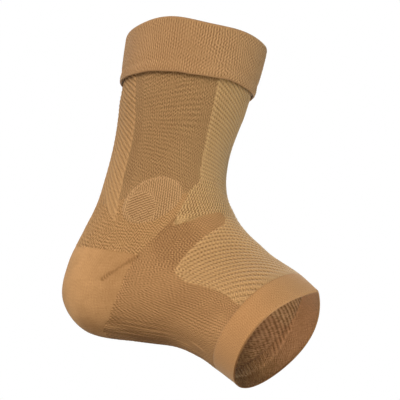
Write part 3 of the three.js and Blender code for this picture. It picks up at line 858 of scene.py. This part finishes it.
for kind, mean in MEAN.items():
    stitch, bump, spread, sheen = STITCH[kind]
    ridge, valley = tones(*mean, spread)
    materials[kind] = knit_material(kind, ridge, valley, stitch, bump, sheen)


def kind_of(name):
    return next(k for k in MEAN if name.startswith(k))


NODE = {"cuff_band": "cuff", "heel_cup": "heel_pocket", "toe_welt": "toe_band"}
for name, obj in pieces.items():
    obj.data.materials.append(materials[kind_of(name)])
    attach(obj, "root")
    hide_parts(NODE.get(name, "knit_body"))

# ------------------------------------------------------------- floor and studio

bpy.ops.mesh.primitive_plane_add(size=8, location=(0, 0, -0.30))
floor = bpy.context.object
floor.name = "floor"
floor_mat = bpy.data.materials.new("floor_pale")
floor_mat.use_nodes = True
floor_bsdf = floor_mat.node_tree.nodes["Principled BSDF"]
floor_bsdf.inputs["Base Color"].default_value = (0.16, 0.16, 0.16, 1)
floor_bsdf.inputs["Roughness"].default_value = 0.9
floor_bsdf.inputs["Specular IOR Level"].default_value = 0.0
floor_bsdf.inputs["Emission Color"].default_value = (0.88, 0.88, 0.88, 1)  # evenly lit from end to end
floor_bsdf.inputs["Emission Strength"].default_value = 1.0
floor.data.materials.append(floor_mat)
floor.visible_diffuse = False  # the floor sends no light back up
floor.visible_glossy = False
floor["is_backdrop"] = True

TARGET = Vector((0.033, 0.0, 0.088))
AZ, EL, ROLL = math.radians(24.63), math.radians(-8.03), math.radians(12.24)
back = Vector((math.sin(AZ) * math.cos(EL), -math.cos(AZ) * math.cos(EL), math.sin(EL)))
right = Vector((math.cos(AZ), math.sin(AZ), 0))
up = back.cross(right)
right2 = right * math.cos(ROLL) + up * math.sin(ROLL)
up2 = up * math.cos(ROLL) - right * math.sin(ROLL)
place = TARGET + 0.900 * back
centre = TARGET + 0.00527 * right2 + 0.00403 * up2
axis = (place - centre).normalized()
side = up2.cross(axis).normalized()
top = axis.cross(side)
cam_data = bpy.data.cameras.new("camera")
cam_data.lens = 131.1
cam_data.sensor_width = 36
cam = bpy.data.objects.new("camera", cam_data)
cam.matrix_world = Matrix(
    ((side.x, top.x, axis.x, place.x), (side.y, top.y, axis.y, place.y), (side.z, top.z, axis.z, place.z), (0, 0, 0, 1))
)
bpy.context.scene.collection.objects.link(cam)
bpy.context.scene.camera = cam


def area_light(name, place, size, power, colour=(1, 1, 1)):
    data = bpy.data.lights.new(name, "AREA")
    data.shape = "DISK"
    data.size = size
    data.energy = power
    data.color = colour
    obj = bpy.data.objects.new(name, data)
    obj.location = place
    obj.rotation_mode = "QUATERNION"
    obj.rotation_quaternion = (Vector(place) - Vector((0.03, 0, 0.09))).to_track_quat("Z", "Y")
    bpy.context.scene.collection.objects.link(obj)
    return obj


def round_the_camera(turn, lift, distance=1.35):
    """A place turned from the camera's side of the sleeve (to the right is positive) and lifted, in degrees."""
    t, e = math.radians(turn), math.radians(lift)
    front = Vector((math.sin(AZ), -math.cos(AZ), 0))
    return Vector((0.03, 0, 0.09)) + distance * ((front * math.cos(t) + right * math.sin(t)) * math.cos(e) + Vector((0, 0, math.sin(e))))


COOL = (0.877, 0.947, 1.0)
area_light("key", round_the_camera(-24, 45), 0.8, 13.9)
area_light("front_left", round_the_camera(-60, 15), 0.8, 4.0)
area_light("left", round_the_camera(-102, 15), 0.8, 8.4)
area_light("front_right", round_the_camera(60, -8), 0.8, 4.25, COOL)
area_light("right", round_the_camera(75, 10), 0.8, 8.9, (0.81, 0.963, 1.0))
area_light("rear", round_the_camera(180, 45), 0.8, 16.5)
area_light("rear_fill", round_the_camera(176, 4), 0.8, 8.0)
area_light("low", round_the_camera(0, -30, 0.6), 0.2, 2.15, (1.0, 0.975, 0.935)).visible_camera = False  # a small fill near the floor

world = bpy.data.worlds.new("studio")
bpy.context.scene.world = world
world.use_nodes = True
wn, wl = world.node_tree.nodes, world.node_tree.links
wn.clear()
w_out = wn.new("ShaderNodeOutputWorld")
seen, lit = wn.new("ShaderNodeBackground"), wn.new("ShaderNodeBackground")
seen.inputs["Color"].default_value = (1, 1, 1, 1)
seen.inputs["Strength"].default_value = 1.0
lit.inputs["Strength"].default_value = 1.0
where_to = wn.new("ShaderNodeTexCoord")
height = wn.new("ShaderNodeSeparateXYZ")
wl.new(where_to.outputs["Generated"], height.inputs[0])
ramp = wn.new("ShaderNodeMapRange")  # the white table below sends back most of the room's light
wl.new(height.outputs[2], ramp.inputs["Value"])
ramp.inputs["From Min"].default_value = -0.35
ramp.inputs["From Max"].default_value = 0.10
ramp.inputs["To Min"].default_value = 0.22
ramp.inputs["To Max"].default_value = 0.03
wl.new(ramp.outputs["Result"], lit.inputs["Color"])
path = wn.new("ShaderNodeLightPath")
blend = wn.new("ShaderNodeMixShader")
wl.new(path.outputs["Is Camera Ray"], blend.inputs[0])
wl.new(lit.outputs[0], blend.inputs[1])
wl.new(seen.outputs[0], blend.inputs[2])
wl.new(blend.outputs[0], w_out.inputs["Surface"])
bpy.context.scene.view_settings.view_transform = "Standard"

low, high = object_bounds()
